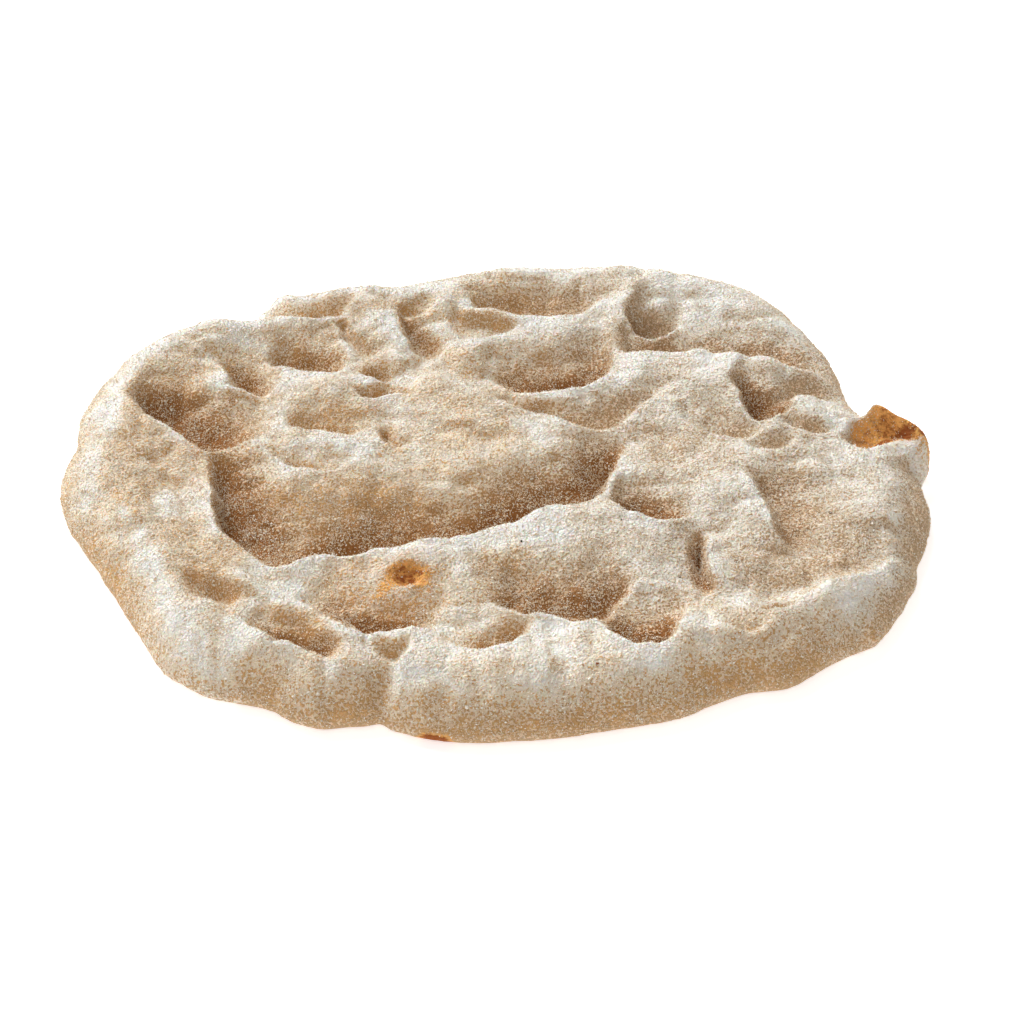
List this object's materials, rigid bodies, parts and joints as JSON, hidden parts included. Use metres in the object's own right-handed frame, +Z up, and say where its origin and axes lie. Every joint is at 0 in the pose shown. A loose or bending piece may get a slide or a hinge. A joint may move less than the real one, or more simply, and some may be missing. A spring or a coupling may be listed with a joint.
{
  "type": "pinsa base",
  "caption": "Oval flatbread base of risen dough: soft raised rim, deep uneven finger presses, floured skin and a scorched burst bubble at one edge; lies flat to be topped or baked.",
  "frame": {"origin": "middle of the flat underside", "axes": "+X along the bread's length towards the burst bubble, -Y towards the front as pictured, +Z up"},
  "size_m": [0.3024, 0.2516, 0.0231],
  "materials": {
    "floured_dough": "matt floured bread skin, creamy white on top, tan in the hollows, two scorched spots"
  },
  "bodies": {
    "root": {"pinsa": "floured_dough"}
  },
  "joints": []
}
